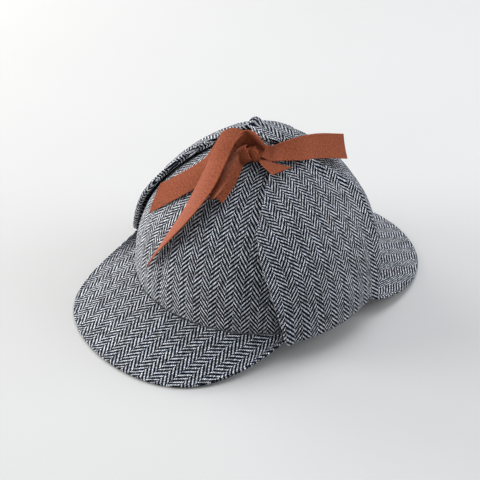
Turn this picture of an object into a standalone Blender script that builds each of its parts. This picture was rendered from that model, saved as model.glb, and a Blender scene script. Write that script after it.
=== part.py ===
"""Deerstalker hat: six crown gores, a front visor, a back brim, two ear flaps
folded up over the crown, and the ribbon bow that ties them.

Metres, +Z up.  The wearer faces -Y and the wearer's left is +X.  The hat lies
on z = 0 by itself, on the outer edges of the visor and of the back brim, and the
origin is on that surface in the middle of the hat's length and width.
"""
import math

import bmesh
import bpy
import numpy as np
from mathutils import Matrix, Vector

MM = 0.001

# Every shape below is measured from the middle of the crown's rim, which is here.
CROWN_CENTRE = Vector((0.74, 5.75, 0)) * MM

# Crown, measured outside.  Heights are above the table.
HALF_LENGTH = 94.0 * MM
HALF_WIDTH = 92.5 * MM
RIM_SIDE = 16.5 * MM
RIM_FRONT = 20.0 * MM
RIM_BACK = 17.5 * MM
CROWN_TOP = 123.5 * MM
APEX_X = -5.0 * MM
APEX_Y = 8.0 * MM
# The upright profile is a superellipse: rise power, then run power.
FRONT_PROFILE = (2.6, 1.1)
BACK_PROFILE = (2.06, 1.86)
CROWN_WALL = 2.5 * MM
GORES = 6
GORE_COLUMNS = 8
GORE_ROWS = 12
GORE_TOP = 86.0
SEAM_GAP = 0.8 * MM
GAP = 0.3 * MM

# Front visor and back brim.  The outer edge lies on the table in the middle and
# rises towards both ends, by different amounts on the hat's left and right.
BRIM_THICKNESS = 2.6 * MM
BRIM_ROWS = 5
BRIM_SLOPE = 1.1
BRIM_HEM = 0.06
LEVEL_ANGLE = 20.0
RISE_ANGLE = 62.0
VISOR = {
    "reach": 53.0 * MM, "taper_angle": 70.2, "end_angle": 61.3,
    "roundness": 5.3, "fall_off": 2.5, "outward": 0.35,
    "left_rise": 9.8 * MM, "right_rise": 20.5 * MM, "rise_power": 3.7,
}
BACK_BRIM = {
    "reach": 41.5 * MM, "taper_angle": 72.7, "end_angle": 69.5,
    "roundness": 2.5, "fall_off": 0.77, "outward": 0.47,
    "left_rise": 7.5 * MM, "right_rise": 7.5 * MM, "rise_power": 2.6,
}

# Ear flaps.  A flap wraps round the crown about the hat's long axis.  Each row
# gives the turn about that axis in degrees, where the flap's front and rear edges
# lie along the hat, and how far the two edges stand off the crown, in mm.
FLAP_THICKNESS = 2.2 * MM
FLAP_COLUMNS = 12
FLAP_STEP = 3.0
WRAP_AXIS_Z = 30.0 * MM
FLAP_ROW_NAMES = ("turn", "front", "rear", "front_lift", "rear_lift")
LEFT_FLAP_ROWS = (
    (-9.5, -44.5, 31.0, 4.5, 4.5),
    (-5.0, -46.5, 33.0, 4.5, 5.0),
    (8.0, -51.0, 37.0, 3.0, 8.0),
    (20.0, -53.0, 41.0, 2.5, 10.0),
    (33.0, -52.0, 43.0, 2.5, 8.0),
    (46.0, -45.0, 39.0, 2.5, 5.0),
    (57.0, -33.0, 27.0, 2.5, 3.0),
    (67.0, -19.0, 17.0, 1.5, 1.5),
    (73.0, -9.0, 12.0, 0.5, 0.5),
)
RIGHT_FLAP_ROWS = (
    (-9.5, -42.5, 31.0, 9.0, 4.0),
    (-5.0, -45.0, 33.0, 8.5, 4.0),
    (8.0, -51.0, 37.0, 7.0, 3.5),
    (20.0, -53.0, 41.0, 5.5, 2.5),
    (33.0, -52.0, 43.0, 4.5, 1.5),
    (46.0, -45.0, 43.0, 3.5, 1.0),
    (57.0, -33.0, 41.0, 2.5, 0.5),
    (69.0, -17.0, 37.0, 1.5, 0.4),
    (80.0, -1.0, 32.0, 0.6, 0.4),
    (90.0, 0.5, 27.0, 0.4, 0.4),
    (97.0, 4.0, 20.0, 0.4, 0.4),
)
# The hem of each flap hangs lower at its front corner, by this turn.  The foot
# that it is sewn on by lies just below the crown's lower edge, and stays this far
# inside the flap's front and rear edges.
HEM_DIP = 2.5
HEM_DIP_REACH = 12.0
HEM_ROUND = 2.0 * MM
FOOT_DROP = 1.0 * MM
FOOT_INSET = 4.0
# A pucker of the right flap stands up behind its front edge, beside the bow.
PUCKER = {"turn": 79.0, "share": 0.27, "height": 6.0 * MM, "turn_reach": 3.0, "share_reach": 0.12}

# Ribbon bow.  Strips of one flat ribbon run out of the knot.  Each row gives a
# place on the strip's middle line in mm, the heading and the upward tilt of the
# line across it in degrees, and its width there in mm.
RIBBON_THICKNESS = 1.0 * MM
RIBBON_STEP = 4.0
STRIP_ROW_NAMES = ("x", "y", "z", "heading", "tilt", "width")
STRIPS = {
    "ribbon_arch_tail": (
        (5, -16, 120, 40, -15, 7), (-3, -12, 121, 42, -12, 9), (-8, -8, 125, 44, -10, 10),
        (-7, -13, 131, 42, -12, 11), (-5, -24, 127, 17, -8, 15), (-9, -38, 109, -10, -15, 19),
        (-16, -49, 101, -12, -15, 19), (-23, -58, 94, -14, -16, 19), (-37, -67, 82, -87, -60, 24),
    ),
    "ribbon_long_tail": (
        (-5, -15, 134, 38, -10, 12), (-1, -27, 131, 24, 7, 14), (1, -38, 119, 16, 20, 17),
        (4, -51, 106, 7, 17, 18), (6, -70, 90, -9, 21, 17), (1, -84, 73, -16, 28, 14),
        (-6, -91, 58, -23, 40, 12), (-12, -93, 46, -5, 53, 3),
    ),
    "ribbon_right_tail": (
        (15, -12, 121, -24, -31, 6), (19, -6, 123, -41, -24, 12), (28, -1, 125, -41, -31, 15),
        (33, 12, 125, -39, -34, 19), (32, 27, 121, -37, -40, 19), (33, 56, 111, -28, -47, 19),
    ),
    "ribbon_short_tail": (
        (16, -14.5, 117.5, 42, -12, 5), (26, -12, 117.5, 66, 7, 6), (38, -10, 116.5, 75, 10, 15),
    ),
    "ribbon_centre_fold": (
        (6, -20, 119, 18, -28, 7), (8, -27, 114.5, 43, -11, 9), (14, -43, 104.5, 45, -8, 9),
        (17, -52, 98.5, 25, -1, 9),
    ),
    "ribbon_root_right": (
        (1, -2, 125, 27, -10, 8), (4, -6, 124, 24, -9, 9), (8, -11, 122, 28, -6, 8),
    ),
    "ribbon_root_left": (
        (28, 4, 122, -41, -39, 5), (20, -2, 120, -40, -43, 4), (14, -9, 118.5, -27, -45, 4),
    ),
}
KNOT = {"centre": (10.5, -15.0, 120.0), "heading": 50.0, "lean": 35.0, "radii": (8.5, 6.5, 4.5)}


def mix(a, b, share):
    return a + (b - a) * share


def rim_point(angle):
    """Crown's lower edge at an angle from the front, turning towards +X."""
    swing = math.cos(angle) ** 2
    low = RIM_FRONT if math.cos(angle) > 0 else RIM_BACK
    height = mix(RIM_SIDE, low, swing)
    return Vector((HALF_WIDTH * math.sin(angle), -HALF_LENGTH * math.cos(angle), height))


def profile_powers(angle):
    front = (1 + math.cos(angle)) / 2
    return (mix(BACK_PROFILE[0], FRONT_PROFILE[0], front),
            mix(BACK_PROFILE[1], FRONT_PROFILE[1], front))


def crown_point(angle, rise):
    """Outer face of the crown; rise runs from 0 at the rim to 90 at the top."""
    rise_power, run_power = profile_powers(angle)
    climb = math.sin(math.radians(rise)) ** (2 / rise_power)
    run = math.cos(math.radians(rise)) ** (2 / run_power)
    rim = rim_point(angle)
    return Vector((mix(APEX_X, rim.x, run), mix(APEX_Y, rim.y, run),
                   mix(rim.z, CROWN_TOP, climb)))


def inside_crown(point):
    """True where a point lies within the crown's outer face."""
    angle = math.atan2(point.x / HALF_WIDTH, -point.y / HALF_LENGTH)
    run = 1.0
    for _ in range(3):
        rise_power, run_power = profile_powers(angle)
        low = rim_point(angle).z
        climb = min(max((point.z - low) / (CROWN_TOP - low), 0.0), 1.0)
        run = (1 - climb ** rise_power) ** (1 / run_power)
        across = (point.x - APEX_X * (1 - run)) / HALF_WIDTH
        along = -(point.y - APEX_Y * (1 - run)) / HALF_LENGTH
        angle = math.atan2(across, along)
    return math.hypot(across, along) < run


def wrap_point(along, turn, side):
    """Crown's outer face met from the wrap axis; side is +1 left, -1 right."""
    way = Vector((side * math.cos(math.radians(turn)), 0, math.sin(math.radians(turn))))
    start = Vector((0, along, WRAP_AXIS_Z))
    near, far = 0.0, 2 * HALF_LENGTH
    for _ in range(30):
        middle = (near + far) / 2
        if inside_crown(start + way * middle):
            near = middle
        else:
            far = middle
    return start + way * near


def wrap_normal(along, turn, side):
    step_along, step_turn = 0.5 * MM, 0.4
    across = wrap_point(along + step_along, turn, side) - wrap_point(along - step_along, turn, side)
    up = wrap_point(along, turn + step_turn, side) - wrap_point(along, turn - step_turn, side)
    return (across.cross(up) * side).normalized()


def table_value(rows, column, key):
    """Smooth value of a column at a key, through rows sorted on column 0."""
    keys = [row[0] for row in rows]
    values = [row[column] for row in rows]
    key = min(max(key, keys[0]), keys[-1])
    slopes = np.gradient(values, keys)
    spot = min(int(np.searchsorted(keys, key, side="right")) - 1, len(keys) - 2)
    span = keys[spot + 1] - keys[spot]
    t = (key - keys[spot]) / span
    ease = t * t * (3 - 2 * t)
    bend = t * (1 - t) * ((1 - t) * slopes[spot] - t * slopes[spot + 1]) * span
    return mix(values[spot], values[spot + 1], ease) + bend


def sheet_object(name, rows, material, thickness, offset):
    """Open grid of points, one list a row, given its thickness by Solidify."""
    mesh = bpy.data.meshes.new(name)
    shape = bmesh.new()
    grid = [[shape.verts.new(point) for point in row] for row in rows]
    for lower, upper in zip(grid, grid[1:]):
        for i in range(len(lower) - 1):
            shape.faces.new((lower[i], lower[i + 1], upper[i + 1], upper[i]))
    shape.to_mesh(mesh)
    shape.free()
    mesh.shade_smooth()
    mesh.materials.append(material)
    piece = bpy.data.objects.new(name, mesh)
    piece.location = CROWN_CENTRE
    hat_pieces.objects.link(piece)
    wall = piece.modifiers.new("Wall", "SOLIDIFY")
    wall.thickness = thickness
    wall.offset = offset
    wall.use_even_offset = True
    return piece


def finish(name, colour, roughness):
    material = bpy.data.materials.new(name)
    material.use_nodes = True
    shader = material.node_tree.nodes["Principled BSDF"]
    shader.inputs["Base Color"].default_value = (*colour, 1)
    shader.inputs["Roughness"].default_value = roughness
    shader.inputs["Metallic"].default_value = 0.0
    return material


def make_gore(number):
    """One crown panel; gore 1 starts at the front seam and they run to +X."""
    width = 2 * math.pi / GORES
    start = (number - 1) * width
    rises = [GORE_TOP * row / GORE_ROWS for row in range(GORE_ROWS + 1)]
    rows = []
    for rise in rises:
        radius = (crown_point(start, rise) - Vector((APEX_X, APEX_Y, 0))).xy.length
        inset = SEAM_GAP / 2 / radius
        angles = [mix(start + inset, start + width - inset, i / GORE_COLUMNS)
                  for i in range(GORE_COLUMNS + 1)]
        rows.append([crown_point(angle, rise) for angle in angles])
    name = f"crown_gore_{number}"
    return sheet_object(name, rows, finish(name, TWEED, 0.9), CROWN_WALL, -1)


def brim_point(brim, angle, share, back):
    """Top face of a brim; share runs from 0 at the crown to 1 at the edge."""
    turned = math.pi - angle if back else angle
    rim = rim_point(turned)
    outward = Vector((math.sin(turned) / HALF_WIDTH, -math.cos(turned) / HALF_LENGTH, 0)).normalized()
    forward = Vector((0, 1 if back else -1, 0))
    way = (outward * brim["outward"] + forward * (1 - brim["outward"])).normalized()
    swing = abs(math.degrees(angle))
    taper = 1 - (swing / brim["taper_angle"]) ** brim["roundness"]
    width = brim["reach"] * taper ** brim["fall_off"]
    climb = max(swing - LEVEL_ANGLE, 0) / (RISE_ANGLE - LEVEL_ANGLE)
    rise = brim["left_rise"] if angle > 0 else brim["right_rise"]
    edge = BRIM_THICKNESS + rise * climb ** brim["rise_power"]
    point = rim + way * mix(GAP, width, share)
    sloped = min(share / (1 - BRIM_HEM), 1.0)
    point.z = mix(rim.z, edge, sloped ** BRIM_SLOPE)
    return point


def make_brim(name, brim, back, columns):
    end = math.radians(brim["end_angle"])
    shares = [(1 - BRIM_HEM) * row / BRIM_ROWS for row in range(BRIM_ROWS + 1)] + [1.0]
    rows = [[brim_point(brim, mix(-end, end, i / columns), share, back)
             for i in range(columns + 1)] for share in shares]
    side = -1 if back else 1
    return sheet_object(name, rows, finish(name, TWEED, 0.9), BRIM_THICKNESS, side)


def flap_foot(front, rear, side):
    """Inner end of the foot, just below the crown's lower edge."""
    points = []
    for i in range(FLAP_COLUMNS + 1):
        along = mix(front + FOOT_INSET, rear - FOOT_INSET, i / FLAP_COLUMNS) * MM
        point = rim_point(math.acos(-along / HALF_LENGTH) * side)
        point.x -= side * CROWN_WALL
        point.z -= FOOT_DROP
        points.append(point)
    return points


def make_flap(name, table, side, pucker=None):
    """Leaf-shaped flap: its foot tucks under the rim, then it wraps upwards."""
    first, last = table[0][0], table[-1][0]
    steps = round((last - first) / FLAP_STEP)
    hem_turn = math.degrees(HEM_ROUND / HALF_WIDTH)
    turns = [first, first + hem_turn] + [mix(first, last, step / steps) for step in range(1, steps + 1)]
    rows = [flap_foot(table[0][1], table[0][2], side)]
    for number, turn in enumerate(turns):
        front, rear, front_lift, rear_lift = (
            table_value(table, column, turn) for column in range(1, len(FLAP_ROW_NAMES)))
        row = []
        for i in range(FLAP_COLUMNS + 1):
            share = i / FLAP_COLUMNS
            along = mix(front, rear, share) * MM
            lift = mix(front_lift, rear_lift, share) * MM
            if pucker:
                up = (turn - pucker["turn"]) / pucker["turn_reach"]
                back = (share - pucker["share"]) / pucker["share_reach"]
                lift += pucker["height"] * math.exp(-up ** 2 - back ** 2)
            if number == 0:
                lift -= HEM_ROUND
            dipped = turn - HEM_DIP * (1 - share) * max(1 - (turn - first) / HEM_DIP_REACH, 0)
            point = wrap_point(along, dipped, side)
            row.append(point + wrap_normal(along, dipped, side) * lift)
        rows.append(row)
    material = finish(name, TWEED, 0.9)
    return sheet_object(name, rows, material, FLAP_THICKNESS, side)


def strip_rows(sections):
    """Cross lines of a ribbon strip, smooth through its few given sections."""
    reach = 0.0
    table = []
    before = sections[0]
    for section in sections:
        place = dict(zip(STRIP_ROW_NAMES, section))
        reach += math.dist(before[:3], section[:3])
        before = section
        heading, tilt = math.radians(place["heading"]), math.radians(place["tilt"])
        level = place["width"] * math.cos(tilt)
        table.append((reach, place["x"], place["y"], place["z"], level * math.cos(heading),
                      level * math.sin(heading), place["width"] * math.sin(tilt)))
    steps = round(reach / RIBBON_STEP)
    rows = []
    for step in range(steps + 1):
        values = [table_value(table, column, reach * step / steps) for column in range(1, 7)]
        middle, across = Vector(values[:3]), Vector(values[3:])
        rows.append([(middle + across * share) * MM for share in (-0.5, 0.0, 0.5)])
    return rows


def make_knot():
    """Rounded knot, with a slightly larger copy that cuts the strips to it."""
    turn = (Matrix.Rotation(math.radians(KNOT["heading"]), 4, "Z")
            @ Matrix.Rotation(math.radians(KNOT["lean"]), 4, "X"))
    for name, extra, home in (("ribbon_knot", 0.0, hat_pieces), ("knot_room", GAP, cutters)):
        shape = bmesh.new()
        bmesh.ops.create_uvsphere(shape, u_segments=16, v_segments=8, radius=1.0)
        radii = [radius * MM + extra for radius in KNOT["radii"]]
        shape.transform(Matrix.Translation(Vector(KNOT["centre"]) * MM)
                        @ turn @ Matrix.Diagonal((*radii, 1)))
        mesh = bpy.data.meshes.new(name)
        shape.to_mesh(mesh)
        shape.free()
        mesh.shade_smooth()
        mesh.materials.append(finish(name, RUST, 0.85))
        piece = bpy.data.objects.new(name, mesh)
        piece.location = CROWN_CENTRE
        home.objects.link(piece)
    piece.hide_render = True
    piece.display_type = "WIRE"
    return piece


def make_strip(name, sections, knot_room):
    strip = sheet_object(name, strip_rows(sections), finish(name, RUST, 0.85), RIBBON_THICKNESS, 0)
    cut = strip.modifiers.new("Knot", "BOOLEAN")
    cut.operation = "DIFFERENCE"
    cut.object = knot_room
    return strip


TWEED = (0.16, 0.165, 0.19)
RUST = (0.42, 0.1, 0.035)

for stale in list(bpy.data.objects):
    bpy.data.objects.remove(stale, do_unlink=True)
hat_pieces = bpy.data.collections.new("deerstalker_hat")
bpy.context.scene.collection.children.link(hat_pieces)
cutters = bpy.data.collections.new("cutters")
bpy.context.scene.collection.children.link(cutters)

for gore in range(1, GORES + 1):
    make_gore(gore)
make_brim("front_visor", VISOR, False, 36)
make_brim("back_brim", BACK_BRIM, True, 36)
make_flap("ear_flap_left", LEFT_FLAP_ROWS, 1)
make_flap("ear_flap_right", RIGHT_FLAP_ROWS, -1, PUCKER)
knot_space = make_knot()
for strip_name, strip_sections in STRIPS.items():
    make_strip(strip_name, strip_sections, knot_space)
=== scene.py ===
"""Looks of a herringbone tweed deerstalker: its ear flaps are folded up and tied over the crown."""
import math

import bmesh
import bpy
import numpy as np
from mathutils import Matrix, Vector


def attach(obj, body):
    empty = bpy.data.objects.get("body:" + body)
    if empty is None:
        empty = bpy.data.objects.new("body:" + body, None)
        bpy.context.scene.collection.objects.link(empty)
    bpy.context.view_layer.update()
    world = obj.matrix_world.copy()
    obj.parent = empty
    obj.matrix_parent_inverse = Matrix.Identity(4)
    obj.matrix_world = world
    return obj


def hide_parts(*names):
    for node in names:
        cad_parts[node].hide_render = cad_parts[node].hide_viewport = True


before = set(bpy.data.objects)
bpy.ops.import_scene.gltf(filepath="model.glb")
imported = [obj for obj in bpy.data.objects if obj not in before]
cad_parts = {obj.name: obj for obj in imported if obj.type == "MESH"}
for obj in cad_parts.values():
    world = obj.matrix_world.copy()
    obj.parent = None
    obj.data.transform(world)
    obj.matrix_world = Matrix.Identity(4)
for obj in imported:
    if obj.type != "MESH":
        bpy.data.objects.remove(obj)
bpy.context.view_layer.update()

# ---------------------------------------------------------------------------
# Table, daylight and camera: a pale table top without edges.  Two windows light it
# low from the left, a white ceiling lights it from above, and weaker light comes
# back to it from the other sides.
MM = 0.001  # the sizes in this script are in mm, and the frame is in metres
TABLE_HALF_WIDTH = 4000.0
TABLE_SQUARES = 8
TABLE_DARK = (0.463, 0.454, 0.444)
TABLE_LIGHT = (0.489, 0.480, 0.470)
TABLE_CLOUDS_PER_METRE = 3.0
VIEW_TURN = math.radians(49.79)
VIEW_HEIGHT = math.radians(31.59)
VIEW_DISTANCE = 878.9
VIEW_AIM = Vector((0.74, 5.75, 68.0)) * MM
PICTURE_WIDTH_PX = 480
FOCAL_LENGTH_PX = 1181.0
OPTICAL_CENTRE_PX = (258.03, 203.89)
SENSOR_WIDTH = 36.0
LAMP_DISTANCE = 2.0  # in metres, as the lamps' size
LAMP_SIZE = 1.5
# Each lamp: the way to it along the picture's right, towards the camera and up,
# then its power in watts and its colour.
LAMPS = {
    "window": ((-1.0, 0.0, 0.14), 76.0, (1.0, 0.99, 0.97)),
    "far_window": ((-0.70, -0.70, 0.14), 64.0, (1.0, 0.99, 0.97)),
    "ceiling": ((0.0, 0.0, 1.0), 15.0, (0.91, 0.95, 1.0)),
    "from_behind": ((0.41, -0.41, 0.82), 22.0, (0.91, 0.95, 1.0)),
    "from_right": ((0.91, 0.0, 0.42), 28.0, (0.90, 0.94, 1.0)),
    "from_front": ((0.0, 0.91, 0.42), 5.0, (0.86, 0.93, 1.0)),
}
ROOM_COLOUR = (0.95, 0.97, 1.0)
ROOM_STRENGTH = 0.25


def start_material(name, roughness, gloss, sheen=0.0):
    """New material, with its node tree and its shader."""
    material = bpy.data.materials.new(name)
    material.use_nodes = True
    shader = material.node_tree.nodes["Principled BSDF"]
    shader.inputs["Roughness"].default_value = roughness
    shader.inputs["Specular IOR Level"].default_value = gloss
    shader.inputs["Sheen Weight"].default_value = sheen
    return material, material.node_tree, shader


def add_noise(tree, place, scale, detail, roughness=0.5):
    """Noise with scale bumps for each unit of place."""
    noise = tree.nodes.new("ShaderNodeTexNoise")
    noise.inputs["Scale"].default_value = scale
    noise.inputs["Detail"].default_value = detail
    noise.inputs["Roughness"].default_value = roughness
    tree.links.new(place, noise.inputs["Vector"])
    return noise


def add_blend(tree, first, second, share):
    """Colour that goes from the first to the second as share goes from 0 to 1."""
    blend = tree.nodes.new("ShaderNodeMix")
    blend.data_type = "RGBA"
    blend.inputs["A"].default_value = (*first, 1)
    blend.inputs["B"].default_value = (*second, 1)
    tree.links.new(share, blend.inputs["Factor"])
    return blend.outputs["Result"]


table_mesh = bpy.data.meshes.new("table")
table_form = bmesh.new()
bmesh.ops.create_grid(table_form, x_segments=TABLE_SQUARES, y_segments=TABLE_SQUARES,
                      size=TABLE_HALF_WIDTH * MM)
table_form.to_mesh(table_mesh)
table_form.free()
table = bpy.data.objects.new("table", table_mesh)
bpy.context.scene.collection.objects.link(table)

table_top, tree, shader = start_material("table_top", roughness=0.75, gloss=0.2)
place = tree.nodes.new("ShaderNodeTexCoord").outputs["Object"]
clouds = add_noise(tree, place, TABLE_CLOUDS_PER_METRE, detail=3.0)
tree.links.new(add_blend(tree, TABLE_DARK, TABLE_LIGHT, clouds.outputs["Fac"]), shader.inputs["Base Color"])
table_mesh.materials.append(table_top)

to_camera = Vector((math.sin(VIEW_TURN) * math.cos(VIEW_HEIGHT),
                    -math.cos(VIEW_TURN) * math.cos(VIEW_HEIGHT), math.sin(VIEW_HEIGHT)))
to_right = Vector((math.cos(VIEW_TURN), math.sin(VIEW_TURN), 0.0))
lens = bpy.data.cameras.new("camera")
lens.sensor_width = SENSOR_WIDTH
lens.lens = SENSOR_WIDTH * FOCAL_LENGTH_PX / PICTURE_WIDTH_PX
lens.shift_x = (PICTURE_WIDTH_PX / 2 - OPTICAL_CENTRE_PX[0]) / PICTURE_WIDTH_PX
lens.shift_y = (OPTICAL_CENTRE_PX[1] - PICTURE_WIDTH_PX / 2) / PICTURE_WIDTH_PX
lens.clip_start = 10.0 * MM
camera = bpy.data.objects.new("camera", lens)
camera.location = VIEW_AIM + to_camera * VIEW_DISTANCE * MM
camera.rotation_euler = (-to_camera).to_track_quat("-Z", "Y").to_euler()
bpy.context.scene.collection.objects.link(camera)
bpy.context.scene.camera = camera

level_to_camera = Vector((to_camera.x, to_camera.y, 0.0)).normalized()
for lamp_name, (way, power, colour) in LAMPS.items():
    light = bpy.data.lights.new(lamp_name, "AREA")
    light.shape = "DISK"
    light.size = LAMP_SIZE
    light.energy = power
    light.color = colour
    lamp = bpy.data.objects.new(lamp_name, light)
    towards = (to_right * way[0] + level_to_camera * way[1] + Vector((0, 0, way[2]))).normalized()
    lamp.location = VIEW_AIM + towards * LAMP_DISTANCE
    lamp.rotation_euler = (-towards).to_track_quat("-Z", "Y").to_euler()
    bpy.context.scene.collection.objects.link(lamp)
room_light = bpy.data.worlds.new("room")
room_light.use_nodes = True
surround = room_light.node_tree.nodes["Background"]
surround.inputs["Color"].default_value = (*ROOM_COLOUR, 1)
surround.inputs["Strength"].default_value = ROOM_STRENGTH
bpy.context.scene.world = room_light
bpy.context.scene.view_settings.view_transform = "Standard"

# ---------------------------------------------------------------------------
# Herringbone tweed, the cloth of the crown, the brims and the flaps: a 2/2 twill of
# off-white warp over navy-black weft.  It turns back every eight ends and drops half
# a repeat there, so that white meets black at each turn.
END_PITCH = 0.825
PICK_PITCH = 0.975
ENDS_IN_COLUMN = 8
TWILL_REPEAT = 4
WHITE_YARN = (0.82, 0.845, 0.89)
NAVY_YARN = (0.0052, 0.0100, 0.034)
YARN_WANDER = 0.9
WANDERS_PER_MM = 0.45
HAIRS_PER_MM = 2.6
WEAR_PER_MM = 0.035
# A float's brightness is its own dye times its hairs, a painted shade in the hollow beside it, and wear.
# Each pair is how much that varies and the least that it is.
DYE = (1.15, 0.43)
HAIRS = (0.9, 0.55)
HOLLOW_PAINTED_SHADE = (0.98, 0.02)
WEAR = (0.3, 0.85)
HOLLOW_SHADE_POWER = 2.5
BRIGHTEST = 1.15
# How blunt a float's ends and sides are.
FLOAT_ENDS = 4.0
FLOAT_SIDES = 2.0
HAIR_RELIEF = 0.5
TWEED_RELIEF = 0.25


def sums(tree):
    """Function that adds a Math node to the tree and gives its output."""
    def add(operation, *values):
        node = tree.nodes.new("ShaderNodeMath")
        node.operation = operation
        for socket, value in zip(node.inputs, values):
            if isinstance(value, (int, float)):
                socket.default_value = value
            else:
                tree.links.new(value, socket)
        return node.outputs[0]
    return add


def cloth_place(tree):
    """Place on the flat cloth, which each piece of cloth holds as a map."""
    place = tree.nodes.new("ShaderNodeUVMap")
    place.uv_map = "weave"
    return place.outputs["UV"]


def ways_of(tree, place):
    """The two ways of a place on the cloth, across and along."""
    split = tree.nodes.new("ShaderNodeSeparateXYZ")
    tree.links.new(place, split.inputs[0])
    return split.outputs["X"], split.outputs["Y"]


def finish_cloth(tree, shader, colour, brightness, height, strength, depth):
    """Gives the shader a colour with its brightness, and a relief of some depth in mm."""
    shade = tree.nodes.new("ShaderNodeVectorMath")
    shade.operation = "SCALE"
    tree.links.new(colour, shade.inputs[0])
    tree.links.new(brightness, shade.inputs["Scale"])
    tree.links.new(shade.outputs[0], shader.inputs["Base Color"])
    relief = tree.nodes.new("ShaderNodeBump")
    relief.inputs["Strength"].default_value = strength
    relief.inputs["Distance"].default_value = depth * MM
    tree.links.new(height, relief.inputs["Height"])
    tree.links.new(relief.outputs[0], shader.inputs["Normal"])


def weave_herringbone(name):
    material, tree, shader = start_material(name, roughness=0.92, gloss=0.06, sheen=0.02)
    do = sums(tree)
    place = cloth_place(tree)
    # The yarn wanders a little to both sides.
    wander = add_noise(tree, place, WANDERS_PER_MM, detail=2.0)
    moved = tree.nodes.new("ShaderNodeVectorMath")
    moved.operation = "MULTIPLY_ADD"
    moved.inputs[1].default_value = (YARN_WANDER, YARN_WANDER, 0.0)
    tree.links.new(wander.outputs["Color"], moved.inputs[0])
    tree.links.new(place, moved.inputs[2])
    across_cloth, along_cloth = ways_of(tree, moved.outputs[0])

    # Which yarn is up, from the end, the pick and the way that the column climbs.
    ends = do("DIVIDE", across_cloth, END_PITCH)
    picks = do("DIVIDE", along_cloth, PICK_PITCH)
    end, end_part = do("FLOOR", ends), do("FRACT", ends)
    pick, pick_part = do("FLOOR", picks), do("FRACT", picks)
    column = do("FLOOR", do("DIVIDE", ends, ENDS_IN_COLUMN))
    turned = do("FLOORED_MODULO", column, 2.0)
    step = do("SUBTRACT", end, do("MULTIPLY", column, ENDS_IN_COLUMN))
    back_step = do("SUBTRACT", ENDS_IN_COLUMN - 1 + TWILL_REPEAT / 2, step)
    way_step = do("ADD", step, do("MULTIPLY", turned, do("SUBTRACT", back_step, step)))
    climb = do("ADD", pick, way_step)
    phase = do("FLOORED_MODULO", climb, TWILL_REPEAT)
    warp_up = do("LESS_THAN", phase, TWILL_REPEAT / 2 - 0.5)

    # Each float is a rounded bead, two crossings long and one yarn wide.
    warp_along = do("DIVIDE", do("ADD", phase, pick_part), 2.0)
    mirrored = do("SUBTRACT", 1.0, do("MULTIPLY", end_part, 2.0))
    weft_part = do("ADD", end_part, do("MULTIPLY", turned, mirrored))
    weft_along = do("DIVIDE", do("ADD", do("SUBTRACT", phase, 2.0), weft_part), 2.0)
    along = do("ADD", weft_along, do("MULTIPLY", warp_up, do("SUBTRACT", warp_along, weft_along)))
    across = do("ADD", pick_part, do("MULTIPLY", warp_up, do("SUBTRACT", end_part, pick_part)))

    def rounded(value, power):
        swing = do("ABSOLUTE", do("SUBTRACT", do("MULTIPLY", value, 2.0), 1.0))
        return do("SUBTRACT", 1.0, do("POWER", swing, power))

    height = do("MULTIPLY", rounded(along, FLOAT_ENDS), rounded(across, FLOAT_SIDES))

    float_mark = tree.nodes.new("ShaderNodeCombineXYZ")
    tree.links.new(end, float_mark.inputs["X"])
    tree.links.new(do("FLOOR", do("DIVIDE", climb, TWILL_REPEAT)), float_mark.inputs["Y"])
    chance = tree.nodes.new("ShaderNodeTexWhiteNoise")
    chance.noise_dimensions = "2D"
    tree.links.new(float_mark.outputs[0], chance.inputs["Vector"])
    fuzz = add_noise(tree, place, HAIRS_PER_MM, detail=3.0, roughness=0.7).outputs["Fac"]
    worn = add_noise(tree, place, WEAR_PER_MM, detail=2.0).outputs["Fac"]
    dye = do("MULTIPLY_ADD", chance.outputs["Value"], *DYE)
    hairs = do("MULTIPLY_ADD", fuzz, *HAIRS)
    # Painted shade: a float is darker towards its ends and sides, where it dips between its neighbours.
    hollow_painted_shade = do("MULTIPLY_ADD", do("POWER", height, HOLLOW_SHADE_POWER), *HOLLOW_PAINTED_SHADE)
    wear = do("MULTIPLY_ADD", worn, *WEAR)
    bright = do("MULTIPLY", do("MULTIPLY", dye, hairs), do("MULTIPLY", hollow_painted_shade, wear))
    finish_cloth(tree, shader, add_blend(tree, NAVY_YARN, WHITE_YARN, warp_up),
                 do("MINIMUM", bright, BRIGHTEST),
                 do("ADD", height, do("MULTIPLY", fuzz, HAIR_RELIEF)), strength=0.55, depth=TWEED_RELIEF)
    return material


tweed = weave_herringbone("herringbone_tweed")

# ---------------------------------------------------------------------------
# Crown: six tapering tweed panels, seamed from the rim to the top, one seam
# down the middle of the front.  Each panel's columns run up its middle line.
CROWN_CENTRE = np.array((0.74, 5.75, 0.0))
HALF_LENGTH = 94.0
HALF_WIDTH = 92.5
RIM_SIDE = 16.5
RIM_FRONT = 20.0
RIM_BACK = 17.5
CROWN_TOP = 123.5
APEX_X = -5.0
APEX_Y = 8.0
# Powers of the crown's profile in front and behind, for its height and its run.  The
# crown is fuller with larger ones.
FRONT_PROFILE = (2.6, 1.1)
BACK_PROFILE = (2.06, 1.86)
CROWN_WALL = 2.5
GORES = 6
CROWN_PANELS = [f"crown_panel_{number}" for number in range(1, GORES + 1)]
CROWN_GRAIN = (1.095, 1.075, 0.07, -3.5)
GORE_COLUMNS = 56
GORE_ROWS = 84
MERIDIAN_POINTS = 900
SWEEP_POINTS = 25
NARROWEST_PANEL = 0.02
SEAM_INSET = 0.1
SEAM_ROUND = 1.25
RIM_ROUND = 0.5
SEAM_DIP = 0.5
SEAM_DIP_REACH = 4.0
SEAM_PUCKER = 0.28
SEAM_PUCKER_REACH = 7.0
SEAM_PUCKER_LENGTH = 12.0
FULL_RELIEF_WIDTH = 30.0
SWELL = 0.5
SWELL_LENGTH = 42.0
SWELL_SINK = 0.6
PUCKER_SEED = 11
SWELL_SEED = 31
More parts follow.
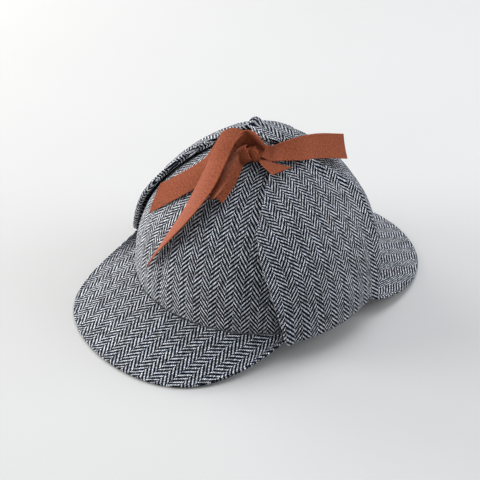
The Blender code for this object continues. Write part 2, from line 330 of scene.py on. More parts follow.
EDGE_TURNS = np.radians((0.0, 25.0, 50.0, 75.0))
WIDEST_EDGE_SHARE = 0.3
WAVES = 7
WAVE_LENGTHS = (0.8, 1.6)
MERGE_DISTANCE = 0.002
TINY = 1e-9


def mix(first, second, share):
    return first + (second - first) * share


def weave_places(along, up, grain):
    """Places on the flat cloth of points along and up a piece.

    grain is how fine the cloth lies in it both ways, how far its picks slant, and
    where a column starts.
    """
    fine_along, fine_up, slant, start = grain
    return np.stack([along * fine_along + start, up * fine_up + along * slant], -1)


def rim_points(angle):
    """Crown's lower edge at angles from the front, turning towards +X."""
    low = np.where(np.cos(angle) > 0, RIM_FRONT, RIM_BACK)
    height = mix(RIM_SIDE, low, np.cos(angle) ** 2)
    return np.stack([HALF_WIDTH * np.sin(angle), -HALF_LENGTH * np.cos(angle), height], -1)


def crown_points(angle, rise):
    """Outer face of the crown; rise runs from 0 at the rim to a right angle at the top."""
    front = (1 + np.cos(angle)) / 2
    climb = np.sin(rise) ** (2 / mix(BACK_PROFILE[0], FRONT_PROFILE[0], front))
    run = np.cos(rise) ** (2 / mix(BACK_PROFILE[1], FRONT_PROFILE[1], front))
    rim = rim_points(angle)
    return np.stack([mix(APEX_X, rim[..., 0], run), mix(APEX_Y, rim[..., 1], run),
                     mix(rim[..., 2], CROWN_TOP, climb)], -1)


def lengths_along(line):
    """Distance from the first point of a line of points to each of its points."""
    return np.concatenate([[0.0], np.cumsum(np.linalg.norm(np.diff(line, axis=0), axis=1))])


def cloth_steps(length, radius, inner, first_turned=True, last_turned=True):
    """Places from edge to edge of a piece of cloth, close together where it is turned in.

    Gives the places, how full the cloth's wall is there (0 at a turned edge), and
    how far along the cloth each place lies once the turned edges are laid flat.
    """
    length = np.atleast_1d(np.asarray(length, float))[:, None]
    radius = np.minimum(radius, WIDEST_EDGE_SHARE * length)
    near = radius * (1 - np.cos(EDGE_TURNS))
    near_cloth = radius * (1 - math.pi / 2 + EDGE_TURNS)
    full = np.sin(EDGE_TURNS)
    begin = radius if first_turned else 0 * radius
    finish = length - radius if last_turned else length
    middle = begin + (finish - begin) * np.linspace(0, 1, inner + 1)
    places, cloth, fullness = [middle], [middle], [np.ones(inner + 1)]
    if first_turned:
        places.insert(0, near)
        cloth.insert(0, near_cloth)
        fullness.insert(0, full)
    if last_turned:
        places.append(length - near[:, ::-1])
        cloth.append(length - near_cloth[:, ::-1])
        fullness.append(full[::-1])
    return np.concatenate(places, 1), np.concatenate(fullness), np.concatenate(cloth, 1)


def grid_normals(points):
    normals = np.cross(np.gradient(points, axis=1), np.gradient(points, axis=0))
    return normals / np.maximum(np.linalg.norm(normals, axis=-1, keepdims=True), TINY)


def cloth_piece(name, face, weave, thickness, fullness, flip, material, from_edge=None):
    """Closed piece of cloth from a grid of points on its outer face, in mm.

    weave gives each point's place on the flat cloth, and fullness is 0 at the
    turned edges, where the outer and the inner face meet.  flip is true where the
    grid's own normals point inwards, and from_edge is kept for the material.
    """
    rows, columns = face.shape[:2]
    normals = grid_normals(face) * (-1 if flip else 1)
    thickness = np.broadcast_to(thickness, face.shape[:2])[..., None]
    drop = thickness / 2 * (1 - fullness[..., None])
    sides = [face - normals * drop, face - normals * (thickness - drop)]
    points = (np.concatenate([side.reshape(-1, 3) for side in sides]) + CROWN_CENTRE) * MM
    corner = np.arange(rows * columns).reshape(rows, columns)
    quads = np.stack([corner[:-1, :-1], corner[:-1, 1:], corner[1:, 1:], corner[1:, :-1]], -1)
    quads = quads.reshape(-1, 4)
    outer, inner = (quads[:, ::-1], quads) if flip else (quads, quads[:, ::-1])
    faces = np.concatenate([outer, inner + rows * columns])
    mesh = bpy.data.meshes.new(name)
    mesh.from_pydata(points.tolist(), [], faces.tolist())
    layer = mesh.uv_layers.new(name="weave")
    flat = np.concatenate([weave.reshape(-1, 2)] * 2)
    layer.data.foreach_set("uv", flat[faces.reshape(-1)].reshape(-1).astype(np.float32))
    if from_edge is not None:
        margin = mesh.attributes.new("from_edge", "FLOAT", "POINT")
        margin.data.foreach_set("value", np.concatenate([from_edge.reshape(-1)] * 2).astype(np.float32))
    shape = bmesh.new()
    shape.from_mesh(mesh)
    bmesh.ops.remove_doubles(shape, verts=shape.verts, dist=MERGE_DISTANCE * MM)
    shape.to_mesh(mesh)
    shape.free()
    mesh.shade_smooth()
    mesh.materials.append(material)
    piece = bpy.data.objects.new(name, mesh)
    bpy.context.scene.collection.objects.link(piece)
    return piece


def soft_waves(first, second, seed, size):
    """Gentle unevenness between -1 and 1, with bumps about size mm long."""
    draw = np.random.default_rng(seed)
    total = np.zeros(np.broadcast(first, second).shape)
    for _ in range(WAVES):
        heading, start = draw.uniform(0, 2 * math.pi, 2)
        length = size * draw.uniform(*WAVE_LENGTHS)
        distance = first * math.cos(heading) + second * math.sin(heading)
        total += np.sin(distance * 2 * math.pi / length + start)
    return total / WAVES


for gore, panel_name in enumerate(CROWN_PANELS):
    start, end = gore * 2 * math.pi / GORES, (gore + 1) * 2 * math.pi / GORES
    fine = np.linspace(0, math.pi / 2, MERIDIAN_POINTS)
    reach = lengths_along(crown_points(np.full(MERIDIAN_POINTS, (start + end) / 2), fine))
    places, row_full, row_cloth = cloth_steps(reach[-1], RIM_ROUND, GORE_ROWS, last_turned=False)
    rises = np.interp(places[0], reach, fine)
    sweep = np.linspace(start, end, SWEEP_POINTS)
    widths = np.array([lengths_along(crown_points(sweep, np.full(SWEEP_POINTS, rise)))[-1]
                       for rise in rises])
    widths = np.maximum(widths - 2 * SEAM_INSET, NARROWEST_PANEL)
    steps, column_full, column_cloth = cloth_steps(widths, SEAM_ROUND, GORE_COLUMNS)
    angles = mix(start, end, (steps + SEAM_INSET) / (widths + 2 * SEAM_INSET)[:, None])
    face = crown_points(angles, np.broadcast_to(rises[:, None], angles.shape))
    weave = weave_places(column_cloth - widths[:, None] / 2,
                         np.broadcast_to(row_cloth[0][:, None], steps.shape), CROWN_GRAIN)

    # The cloth dips and puckers along its seams and swells a little between them.
    from_seam = np.minimum(steps, widths[:, None] - steps)
    puckers = soft_waves(0 * steps, places[0][:, None], PUCKER_SEED + gore, SEAM_PUCKER_LENGTH)
    swells = soft_waves(weave[..., 0], weave[..., 1], SWELL_SEED + gore, SWELL_LENGTH)
    relief = -SEAM_DIP * np.exp(-(from_seam / SEAM_DIP_REACH) ** 2)
    relief = relief + SEAM_PUCKER * np.exp(-from_seam / SEAM_PUCKER_REACH) * puckers
    relief = relief + SWELL * (swells - SWELL_SINK)
    room = np.clip(widths[:, None] / FULL_RELIEF_WIDTH, 0, 1)
    face = face + grid_normals(face) * (relief * room)[..., None]
    fullness = row_full[:, None] * column_full[None, :]
    panel = cloth_piece(panel_name, face, weave, CROWN_WALL, fullness, False, tweed)
    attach(panel, "root")
    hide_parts(f"crown_gore_{gore + 1}")

# ---------------------------------------------------------------------------
# Visor and back brim: two layers of tweed over a stiffener, turned and pressed
# at the outer edge and sewn to the crown's rim.  The columns run front to back.
BRIM_THICKNESS = 2.6
BRIM_EDGE_ROUND = 1.3
BRIM_COLUMNS = 150
BRIM_ROWS = 44
BRIM_TUCK = 1.1
BRIM_SLOPE = 1.1
BRIM_HEM = 0.06
BRIM_WAVE = 0.35
BRIM_WAVE_LENGTH = 60.0
BRIM_WAVE_SEED = 71
LEVEL_ANGLE = 20.0
RISE_ANGLE = 62.0
# way is -1 for the front and 1 for the back, and reach is a brim's depth in its
# middle.  A brim narrows to nothing at its taper angles, left and right, and stops
# at its end angle, in degrees from its middle.  roundness and fall_off shape that,
# outward is how far it fans out, and rises are what its two ends climb.
BRIMS = {
    "visor": {
        "node": "front_visor", "way": -1, "reach": 53.0, "outward": 0.35,
        "taper_angles": (70.2, 73.0), "end_angle": 68.6, "roundness": 5.3, "fall_off": 2.5,
        "rises": (11.8, 19.0), "rise_power": 3.4, "grain": (0.98, 1.083, 0.015, 2.65),
    },
    "brim_back": {
        "node": "back_brim", "way": 1, "reach": 41.5, "outward": 0.47,
        "taper_angles": (72.7, 72.7), "end_angle": 69.5, "roundness": 2.5, "fall_off": 0.77,
        "rises": (7.5, 7.5), "rise_power": 2.6, "grain": (0.94, 1.35, 0.0, 0.0),
    },
}


def brim_width(brim, angle):
    taper_angle = np.where(angle > 0, *brim["taper_angles"])
    taper = 1 - np.abs(np.degrees(angle) / taper_angle) ** brim["roundness"]
    return brim["reach"] * taper ** brim["fall_off"]


def brim_points(brim, angle, share):
    """Top face of a brim; share runs from 0 at the crown to 1 at the edge."""
    turned = angle if brim["way"] < 0 else math.pi - angle
    rim = rim_points(turned)
    outward = np.stack([np.sin(turned) / HALF_WIDTH, -np.cos(turned) / HALF_LENGTH, 0 * turned], -1)
    outward /= np.linalg.norm(outward, axis=-1, keepdims=True)
    way = outward * brim["outward"] + np.array((0.0, brim["way"], 0.0)) * (1 - brim["outward"])
    way /= np.linalg.norm(way, axis=-1, keepdims=True)
    climb = np.maximum(np.abs(np.degrees(angle)) - LEVEL_ANGLE, 0) / (RISE_ANGLE - LEVEL_ANGLE)
    edge = BRIM_THICKNESS + np.where(angle > 0, *brim["rises"]) * climb ** brim["rise_power"]
    points = rim + way * mix(-BRIM_TUCK, brim_width(brim, angle), share)[..., None]
    sloped = np.minimum(share / (1 - BRIM_HEM), 1.0)
    points[..., 2] = mix(rim[..., 2], edge, sloped ** BRIM_SLOPE)
    return points


def brim_weave(brim, face, turned_cloth):
    """Places on the cloth, which is longer than its plan where a brim climbs.

    turned_cloth is how much further out the cloth lies once its turned edges are flat.
    """
    climbs = np.diff(face[..., 2], axis=1, prepend=face[:, :1, 2])
    level_steps = np.abs(np.diff(face[..., 0], axis=1, prepend=face[:, :1, 0]))
    slack = np.cumsum(np.hypot(level_steps, climbs) - level_steps, axis=1)
    slack = slack - slack[:, BRIM_COLUMNS // 2][:, None]
    outward = np.gradient(face[..., :2], axis=0)
    outward /= np.linalg.norm(outward, axis=-1, keepdims=True)
    flat = face[..., :2] + outward * turned_cloth[..., None]
    return weave_places(flat[..., 0] + slack, flat[..., 1], brim["grain"])


for brim_name, brim in BRIMS.items():
    end_turn = math.radians(brim["end_angle"])
    rim_length = 2 * end_turn * (HALF_LENGTH + HALF_WIDTH) / 2
    places, column_full, _ = cloth_steps(rim_length, BRIM_EDGE_ROUND, BRIM_COLUMNS)
    angle = mix(-end_turn, end_turn, places[0] / rim_length)
    widths = brim_width(brim, angle)
    steps, row_full, row_cloth = cloth_steps(widths, BRIM_EDGE_ROUND, BRIM_ROWS)
    share = (steps / widths[:, None]).T
    face = brim_points(brim, np.broadcast_to(angle, share.shape), share)
    weave = brim_weave(brim, face, (row_cloth - steps).T)
    waves = soft_waves(face[..., 0], face[..., 1], BRIM_WAVE_SEED, BRIM_WAVE_LENGTH)
    face[..., 2] += BRIM_WAVE * waves * np.sin(math.pi * share) ** 2
    fullness = row_full[:, None] * column_full[None, :]
    piece = cloth_piece(brim_name, face, weave, BRIM_THICKNESS, fullness, brim["way"] < 0, tweed)
    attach(piece, "root")
    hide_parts(brim["node"])

# ---------------------------------------------------------------------------
# Ear flaps: leaf-shaped, two layers of tweed turned right side out, so that the
# edges are thick.  They are sewn on under the crown's rim and folded up over it.
FLAP_THICKNESS = 2.2
FLAP_COLUMNS = 72
FLAP_ROWS = 96
FOOT_ROWS = 6
SPINE_POINTS = 200
WRAP_AXIS_Z = 30.0
# side is 1 for the left and -1 for the right.  The hem dips by some degrees at the
# front, roll thickens the front edge and rear_roll lifts the rear one.  tip_press is
# the share of the thickness that is pressed out at the tip, and tip_padding is what
# stays there of the padding.  pucker is the height of the gathered cloth at the tip.
# Rows: turn about the wrap axis in degrees, where the front and rear edges lie along
# the hat, and how far these edges stand off the crown.
FLAPS = {
    "flap_left": {
        "node": "ear_flap_left", "side": 1, "grain": (1.287, 1.246, -0.148, 5.4),
        "hem_dip": 4.6, "roll": 2.0, "rear_roll": 3.0, "edge_round": 1.5,
        "tip_press": 0.0, "tip_padding": 1.0, "pucker": 0.0, "flat": (97.0, 150.0), "area": 11800.0,
        "rows": (
            (-7.3, -45.3, 31.0, 6.8, 2.5), (-2.0, -47.0, 33.0, 6.8, 2.5), (8.0, -50.0, 35.5, 6.2, 3.0),
            (20.0, -51.2, 37.5, 5.8, 4.0), (33.0, -50.0, 39.5, 5.4, 3.5), (46.0, -44.0, 38.5, 4.6, 3.0),
            (57.0, -32.5, 27.0, 3.2, 2.0), (67.0, -19.0, 17.0, 1.5, 1.5), (73.0, -9.0, 12.0, 0.5, 0.5),
        ),
    },
    "flap_right": {
        "node": "ear_flap_right", "side": -1, "grain": (1.1, 0.92, 0.0, 0.0),
        "hem_dip": -5.0, "roll": 3.2, "rear_roll": 0.0, "edge_round": 2.4,
        "tip_press": 0.35, "tip_padding": 0.0, "pucker": 6.0, "flat": (97.0, 195.0), "area": 14000.0,
        "rows": (
            (-9.5, -47.0, 31.0, 7.5, 4.0), (-5.0, -48.5, 33.0, 6.5, 4.0), (8.0, -51.5, 37.0, 4.2, 3.5),
            (20.0, -53.0, 41.0, 2.4, 2.5), (33.0, -52.0, 43.0, 1.8, 1.5), (46.0, -45.0, 43.0, 1.8, 1.0),
            (57.0, -33.0, 42.0, 1.4, 0.5), (69.0, -15.0, 43.0, 1.0, 0.2), (78.0, 4.0, 42.0, 1.0, 0.0),
            (86.0, 4.2, 39.0, 0.8, 0.0), (91.0, 3.6, 34.0, 0.8, 0.0), (95.0, 5.5, 28.0, 0.8, 0.2),
            (97.5, 9.0, 22.0, 0.8, 0.4),
        ),
    },
}
PADDING = 1.0
PADDING_REACH = 4.5
FLAP_WAVE = 0.5
FLAP_WAVE_LENGTH = 45.0
FLAP_WAVE_SEED = 90
HEM_DIP_REACH = 14.0
ROLL_REACH = 4.0
REAR_ROLL_REACH = 6.0
TIP_TURN = 64.0
TIP_TURN_REACH = 14.0
HEM_ROUND = 2.4
HEM_TURNS = np.radians((0.0, 22.5, 45.0, 67.5))
FOOT_DROP = 1.0
FOOT_INSET = 4.0
# Where the far flap's tip is gathered, how far that reaches both ways, how square the
# gathered lump is, and how much finer the weave gets there.
PUCKER = {"turn": 80.0, "along": 12.0, "turn_reach": 2.9, "along_reach": 5.0,
          "squareness": 1.4, "gather": 0.8}
# How finely the crown's face is searched for: rounds for the angle and for the
# distance, and the small steps either way, in mm and in degrees, for its normals.
ANGLE_ROUNDS = 3
DISTANCE_ROUNDS = 26
SMALL_STEP = 0.5
SMALL_TURN = 0.4


def inside_crown(points):
    """True where points lie within the crown's outer face."""
    x, y, z = points[..., 0], points[..., 1], points[..., 2]
    angle = np.arctan2(x / HALF_WIDTH, -y / HALF_LENGTH)
    for _ in range(ANGLE_ROUNDS):
        front = (1 + np.cos(angle)) / 2
        low = rim_points(angle)[..., 2]
        climb = np.clip((z - low) / (CROWN_TOP - low), 0.0, 1.0)
        run = ((1 - climb ** mix(BACK_PROFILE[0], FRONT_PROFILE[0], front))
               ** (1 / mix(BACK_PROFILE[1], FRONT_PROFILE[1], front)))
        across = (x - APEX_X * (1 - run)) / HALF_WIDTH
        along = -(y - APEX_Y * (1 - run)) / HALF_LENGTH
        angle = np.arctan2(across, along)
    return np.hypot(across, along) < run


def wrap_points(along, turn, side):
    """Crown's outer face met from the wrap axis; side is +1 left, -1 right."""
    turn = np.radians(turn)
    way = np.stack([side * np.cos(turn), 0 * turn, np.sin(turn)], -1)
    start = np.stack([0 * along, along, np.full_like(along, WRAP_AXIS_Z)], -1)
    near, far = np.zeros_like(along), np.full_like(along, 2 * HALF_LENGTH)
    for _ in range(DISTANCE_ROUNDS):
        middle = (near + far) / 2
        inside = inside_crown(start + way * middle[..., None])
        near, far = np.where(inside, middle, near), np.where(inside, far, middle)
    return start + way * near[..., None]


def wrap_normals(along, turn, side):
    across = wrap_points(along + SMALL_STEP, turn, side) - wrap_points(along - SMALL_STEP, turn, side)
    up = wrap_points(along, turn + SMALL_TURN, side) - wrap_points(along, turn - SMALL_TURN, side)
    normals = np.cross(across, up) * side
    return normals / np.linalg.norm(normals, axis=-1, keepdims=True)


def smooth_column(rows, column, keys):
    """Values of a column at some keys, smooth through rows sorted on column 0."""
    known_rows = np.array(rows, float)
    known, values = known_rows[:, 0], known_rows[:, column]
    slopes = np.gradient(values, known)
    keys = np.clip(keys, known[0], known[-1])
    spot = np.clip(np.searchsorted(known, keys, side="right") - 1, 0, len(known) - 2)
    span = known[spot + 1] - known[spot]
    part = (keys - known[spot]) / span
    bend = part * (1 - part) * ((1 - part) * slopes[spot] - part * slopes[spot + 1]) * span
    return mix(values[spot], values[spot + 1], part * part * (3 - 2 * part)) + bend


for flap_name, flap in FLAPS.items():
    side = flap["side"]
    first, last = flap["rows"][0][0], flap["rows"][-1][0]
    middle_turns = np.linspace(first, last, SPINE_POINTS)
    spine_reach = lengths_along(wrap_points(np.zeros(SPINE_POINTS), middle_turns, side))
    flap_length = spine_reach[-1]
    places, row_full, row_cloth = cloth_steps(
        flap_length - HEM_ROUND, flap["edge_round"], FLAP_ROWS, first_turned=False)
    up = np.concatenate([HEM_ROUND * (1 - np.cos(HEM_TURNS)), HEM_ROUND + places[0]])
    turns = np.interp(up, spine_reach, middle_turns)
    front, rear, front_lift, rear_lift = (
        smooth_column(flap["rows"], column, turns)[:, None] for column in range(1, len(flap["rows"][0])))
    widths = (rear - front)[:, 0]
    steps, column_full, column_cloth = cloth_steps(widths, flap["edge_round"], FLAP_COLUMNS)
    share = steps / widths[:, None]
    along = front + steps
    spread_turns = np.broadcast_to(turns[:, None], along.shape)

    # How far the outer face stands off the crown.
    tip = np.clip((spread_turns - TIP_TURN) / TIP_TURN_REACH, 0, 1)
    thickness = FLAP_THICKNESS * (1 - flap["tip_press"] * tip)
    tuck = np.concatenate([HEM_ROUND * (1 - np.sin(HEM_TURNS)), np.zeros(len(places[0]))])
    lift = mix(front_lift, rear_lift, share) - tuck[:, None] + thickness
    peak = np.exp(-(((spread_turns - PUCKER["turn"]) / PUCKER["turn_reach"]) ** 2
                    + ((along - PUCKER["along"]) / PUCKER["along_reach"]) ** 2) ** PUCKER["squareness"])
    lift = lift + flap["pucker"] * peak
    from_side = np.minimum(steps, widths[:, None] - steps)
    from_edge = np.minimum(from_side, (flap_length - up)[:, None])
    waves = soft_waves(along, up[:, None], FLAP_WAVE_SEED + side, FLAP_WAVE_LENGTH)
    padding = PADDING * np.exp(-(from_edge / PADDING_REACH) ** 2) + FLAP_WAVE * (1 + waves)
    roll = flap["roll"] * np.exp(-(steps / ROLL_REACH) ** 2)
    lift = lift + flap["rear_roll"] * np.exp(-((widths[:, None] - steps) / REAR_ROLL_REACH) ** 2)
    lift = lift + roll / 2 + padding * (1 - (1 - flap["tip_padding"]) * tip)
    hem = np.maximum(1 - (spread_turns - first) / HEM_DIP_REACH, 0)
    dipped = spread_turns - flap["hem_dip"] * (1 - share) ** 2 * hem
    wall = wrap_points(along, dipped, side) + wrap_normals(along, dipped, side) * lift[..., None]

    # The foot runs from the seam under the crown's rim to the hem.
    foot_along = mix(front[0] + FOOT_INSET, rear[0] - FOOT_INSET, share[0])
    foot = rim_points(np.arccos(-foot_along / HALF_LENGTH) * side)
    foot[:, 0] -= side * CROWN_WALL
    foot[:, 2] -= FOOT_DROP + FLAP_THICKNESS
    foot_shares = np.linspace(0, 1, FOOT_ROWS + 1)[:-1]
    foot_length = np.linalg.norm(wall[0] - foot, axis=-1).mean()
    face = np.concatenate([mix(foot[None], wall[:1], foot_shares[:, None, None]), wall])

    cloth_up = np.concatenate([
        -foot_length * (1 - foot_shares), HEM_ROUND * HEM_TURNS, HEM_ROUND * math.pi / 2 + row_cloth[0]])
    foot_cloth = np.repeat((front[0] + column_cloth[0])[None], FOOT_ROWS, 0)
    cloth_along = np.concatenate([foot_cloth, front + column_cloth])
    weave = weave_places(cloth_along, np.broadcast_to(cloth_up[:, None], cloth_along.shape), flap["grain"])
    if flap["pucker"]:
        gathered = np.concatenate([np.zeros((FOOT_ROWS, len(share[0]))), peak])
        heart = weave[np.unravel_index(gathered.argmax(), gathered.shape)]
        weave = weave + (weave - heart) * (gathered * PUCKER["gather"])[..., None]
    full = np.concatenate([np.ones(FOOT_ROWS + len(HEM_TURNS)), row_full])
    full[0] = 0
    fullness = full[:, None] * column_full[None, :]
    thickness = np.concatenate([np.full((FOOT_ROWS, len(share[0])), FLAP_THICKNESS), thickness + roll])
    piece = cloth_piece(flap_name, face, weave, thickness, fullness, side < 0, tweed)
    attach(piece, "root")
    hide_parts(flap["node"])

# ---------------------------------------------------------------------------
# Ribbon: one flat woven ribbon, matt and rust-coloured, sewn to each flap's tip
# and tied over the crown.  Most of its tails are cut straight across.
RIBBON_THICKNESS = 0.9
RIBBON_STEP = 0.8
RIBBON_COLUMNS = 22
# Painted highlight along the ribbon's edges: how far in it reaches, in mm, and how much lighter it makes the
# edge.
EDGE_HIGHLIGHT_REACH = 0.9
EDGE_PAINTED_HIGHLIGHT = 0.45
RUST_LIGHT = (0.300, 0.074, 0.028)
RUST_DARK = (0.085, 0.019, 0.009)
SPECKLES_PER_MM = 0.75
SPECKLE_CONTRAST = (2.4, -0.7)
RIB_PITCH = 0.7
RIB_HEIGHT = 0.3
RIBBON_RELIEF = 0.1
# Rows: place of the strip's middle line, the heading and upward tilt in degrees
# of the line across it, and its width.
STRIPS = {
    "ribbon_arch_tail": (
        (-2, -10, 129, 44, -14, 10), (-6, -13.5, 131, 40, -12, 11), (-7, -19, 130.5, 30, -10, 13),
        (-5, -25, 126.5, 17, -8, 15), (-9, -38, 109, -10, -15, 19), (-16, -49, 101, -12, -15, 19),
        (-23, -58, 94, -14, -16, 19), (-37, -67, 82, -87, -60, 24),
    ),
    "ribbon_long_tail": (
        (0.5, -11.5, 131.8, 30, -40, 3), (-1, -13.5, 133, 30, -26, 9), (-3, -19, 133.8, 28, -8, 13),
        (-1, -27, 131, 24, 7, 14), (1, -38, 119, 16, 20, 17), (4, -51, 106, 7, 17, 18),
        (6, -70, 90, -9, 21, 17), (1, -84, 73, -16, 28, 14), (-6, -91, 58, -23, 40, 11),
        (-12, -93, 46.5, -10, 50, 4.5),
    ),
    "ribbon_right_tail": (
        (9.5, -14.5, 121.5, -24, -31, 8), (15, -10, 123, -30, -28, 11), (20.5, -5.5, 121.8, -41, -26, 13),
        (28, -1, 125, -41, -31, 15), (33, 12, 125, -39, -34, 19), (32, 27, 121, -37, -40, 19),
        (33, 56, 111, -28, -47, 19),
    ),
    "ribbon_short_tail": (
        (16, -11.5, 118.5, 50, -12, 4), (24, -13, 118.2, 62, 4, 7.5), (38, -10, 116.5, 75, 10, 15),
    ),
    "ribbon_centre_fold": (
        (0.0, -17, 118.8, 18, -38, 15), (5.8, -27, 115.5, 36, -14, 14), (13, -43.5, 104.5, 43, -8, 13.5),
        (16.0, -52.5, 98.5, 27, -1, 11),
    ),
    "ribbon_root_right": (
        (17, -8, 125.2, -40, 62, 9), (12.5, -9, 127.4, -40, 66, 13), (7.5, -10.2, 129.0, -35, 80, 13.5),
        (3.2, -13, 129.0, -10, 97, 13.5), (2.5, -18, 128.2, 30, 100, 13), (2, -22.5, 126.0, 50, 102, 11),
    ),
    "ribbon_root_left": (
        (28, 4, 122, -41, -39, 5), (20, -2, 120, -40, -43, 4), (14, -9, 118.5, -27, -45, 4),
    ),
}
# Where across a strip it is creased (0 to 1), how high the ridge stands there, and
# how much the strip is bowed.
FOLDED = {
    "ribbon_centre_fold": (0.62, 6.0, 0.0),
    "ribbon_arch_tail": (0.5, 0.0, 0.5),
    "ribbon_long_tail": (0.5, 0.0, 0.9),
    "ribbon_right_tail": (0.5, 0.0, -0.6),
}
FLAT_STRIP = (0.5, 0.0, 0.0)
RIDGE_POWER = 1.5


def weave_ribbon(name):
    """Speckled ribbon with fine ribs across it and a painted highlight along its edges."""
    material, tree, shader = start_material(name, roughness=0.85, gloss=0.15, sheen=0.04)
    do = sums(tree)
    place = cloth_place(tree)
    speckle = add_noise(tree, place, SPECKLES_PER_MM, detail=4.0, roughness=0.7).outputs["Fac"]
    colour = add_blend(tree, RUST_DARK, RUST_LIGHT, do("MULTIPLY_ADD", speckle, *SPECKLE_CONTRAST))
    # Painted highlight: the colour gets lighter towards the ribbon's edges.
    margin = tree.nodes.new("ShaderNodeAttribute")
    margin.attribute_name = "from_edge"
    from_edge = do("MINIMUM", do("DIVIDE", margin.outputs["Fac"], EDGE_HIGHLIGHT_REACH), 1.0)
    painted_edge_highlight = do("SUBTRACT", 1.0, from_edge)
    along_ribbon = ways_of(tree, place)[1]
    ribs = do("SINE", do("MULTIPLY", along_ribbon, 2 * math.pi / RIB_PITCH))
    finish_cloth(tree, shader, colour, do("MULTIPLY_ADD", painted_edge_highlight, EDGE_PAINTED_HIGHLIGHT, 1.0),
                 do("ADD", do("MULTIPLY", ribs, RIB_HEIGHT), speckle), strength=0.35, depth=RIBBON_RELIEF)
    return material


rust_ribbon = weave_ribbon("rust_ribbon")
strips, strip_lengths = {}, {}
for strip_name, sections in STRIPS.items():
    line = np.array(sections, float)
    reach = lengths_along(line[:, :3])
    heading, tilt, width = np.radians(line[:, 3]), np.radians(line[:, 4]), line[:, 5]
    level = width * np.cos(tilt)
    keyed = np.column_stack([reach, line[:, :3], level * np.cos(heading), level * np.sin(heading),
                             width * np.sin(tilt)])
    places, row_full, row_cloth = cloth_steps(reach[-1], RIBBON_THICKNESS / 2, round(reach[-1] / RIBBON_STEP))
    centre = np.stack([smooth_column(keyed, column, places[0]) for column in (1, 2, 3)], -1)
    across = np.stack([smooth_column(keyed, column, places[0]) for column in (4, 5, 6)], -1)
    widths = np.linalg.norm(across, axis=-1)
    steps, column_full, column_cloth = cloth_steps(widths, RIBBON_THICKNESS / 2, RIBBON_COLUMNS)
    share = steps / widths[:, None] - 0.5
    face = centre[:, None] + across[:, None] * share[..., None]
    normals = grid_normals(face)
    flip = normals[..., 2].mean() < 0
    outward = normals * (-1 if flip else 1)
    crease, ridge, bow = FOLDED.get(strip_name, FLAT_STRIP)
    climbed = np.maximum(np.minimum((share + 0.5) / crease, (0.5 - share) / (1 - crease)), 0)
    shaped = ridge * climbed ** RIDGE_POWER - bow * (4 * share ** 2 - 1)
    face = face + outward * (RIBBON_THICKNESS / 2 + shaped)[..., None]
    weave = np.stack([column_cloth, np.broadcast_to(row_cloth[0][:, None], column_cloth.shape)], -1)
    fullness = row_full[:, None] * column_full[None, :]
    from_edge = np.minimum(steps, widths[:, None] - steps)
    piece = cloth_piece(strip_name.replace("ribbon_", "strip_"), face, weave, RIBBON_THICKNESS, fullness,
                        bool(flip), rust_ribbon, from_edge)
    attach(piece, "root")
    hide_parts(strip_name)
    strips[strip_name] = piece
    strip_lengths[strip_name] = reach[-1]

# ---------------------------------------------------------------------------
# Knot: the same ribbon where it is tied.  A core of bunched ribbon has two turns
# of ribbon pulled tight round it.
KNOT_CORE = {"centre": (10.2, -13.8, 120.3), "heading": 50.0, "lean": 10.0, "radii": (6.9, 4.0, 4.6)}
KNOT_CORE_SEGMENTS = 32
KNOT_CORE_RINGS = 20
# Each turn: its middle, the heading and tilt in degrees of the line across it, its
# width, and its radii towards the viewer and upwards.
KNOT_TURNS = (
    ((8.0, -18.1, 120.6), 42.0, 30.0, 7.8, 6.0, 6.4),
    ((13.0, -13.2, 120.8), 50.0, 24.0, 5.6, 4.8, 5.7),
)
TURN_ROWS = 64
TURN_SQUARENESS = 0.6
# A turn goes 1.1 times round, so that its ends overlap.  Its radius grows by 0.09 of
# itself in half a round, and is 0.10 less at its edges.
TURN_ROUNDS = 1.1
TURN_SPIRAL = 0.09
TURN_BULGE = 0.10


def squared(wave):
    """Sine or cosine of a loop that is rather square than round."""
    return np.sign(wave) * np.abs(wave) ** TURN_SQUARENESS


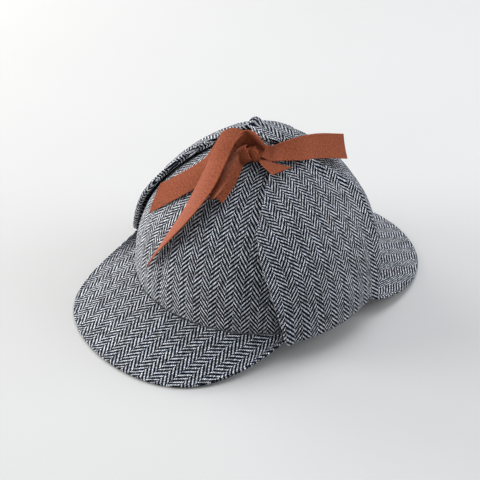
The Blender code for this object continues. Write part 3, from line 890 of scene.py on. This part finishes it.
knot_turns = []
for middle, heading, tilt, width, out_radius, up_radius in KNOT_TURNS:
    heading, tilt = math.radians(heading), math.radians(tilt)
    level = math.cos(tilt)
    across = np.array((level * math.cos(heading), level * math.sin(heading), math.sin(tilt)))
    out = np.array(to_camera) - across * np.dot(np.array(to_camera), across)
    out /= np.linalg.norm(out)
    upward = np.cross(across, out)
    loop_length = math.pi * (out_radius + up_radius) * TURN_ROUNDS
    places, row_full, row_cloth = cloth_steps(loop_length, RIBBON_THICKNESS / 2, TURN_ROWS)
    swing = (places[0] / loop_length - 0.5) * (2 * TURN_ROUNDS) * math.pi
    grown = 1 + TURN_SPIRAL * (swing / math.pi)
    steps, column_full, column_cloth = cloth_steps(width, RIBBON_THICKNESS / 2, RIBBON_COLUMNS)
    loop = (out * (out_radius * grown * squared(np.cos(swing)))[:, None]
            + upward * (up_radius * grown * squared(np.sin(swing)))[:, None])
    bulge = 1 - TURN_BULGE * (2 * steps[0] / width - 1) ** 2
    face = (np.array(middle) + loop[:, None] * bulge[None, :, None]
            + across * (steps[0] - width / 2)[None, :, None])
    weave = np.stack(np.broadcast_arrays(column_cloth, row_cloth[0][:, None]), -1)
    flip = np.sum(grid_normals(face) * loop[:, None]) < 0
    from_edge = np.broadcast_to(np.minimum(steps, width - steps), weave.shape[:2])
    fullness = row_full[:, None] * column_full[None, :]
    knot_turns.append(cloth_piece("turn", face, weave, RIBBON_THICKNESS, fullness, bool(flip),
                                  rust_ribbon, from_edge))

knot_form = bmesh.new()
bmesh.ops.create_uvsphere(knot_form, u_segments=KNOT_CORE_SEGMENTS, v_segments=KNOT_CORE_RINGS,
                          radius=1.0, calc_uvs=True)
bmesh.ops.scale(knot_form, verts=knot_form.verts, vec=Vector(KNOT_CORE["radii"]) * MM)
for turned_by, axis in (("lean", "Y"), ("heading", "Z")):
    bmesh.ops.rotate(knot_form, verts=knot_form.verts,
                     matrix=Matrix.Rotation(math.radians(KNOT_CORE[turned_by]), 3, axis))
bmesh.ops.translate(knot_form, verts=knot_form.verts,
                    vec=(Vector(KNOT_CORE["centre"]) + Vector(CROWN_CENTRE)) * MM)
for turn in knot_turns:
    knot_form.from_mesh(turn.data)
    bpy.data.meshes.remove(turn.data)
knot_mesh = bpy.data.meshes.new("knot")
knot_form.to_mesh(knot_mesh)
knot_form.free()
knot_mesh.shade_smooth()
knot_mesh.materials.append(rust_ribbon)
knot = bpy.data.objects.new("knot", knot_mesh)
bpy.context.scene.collection.objects.link(knot)
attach(knot, "root")
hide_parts("ribbon_knot")
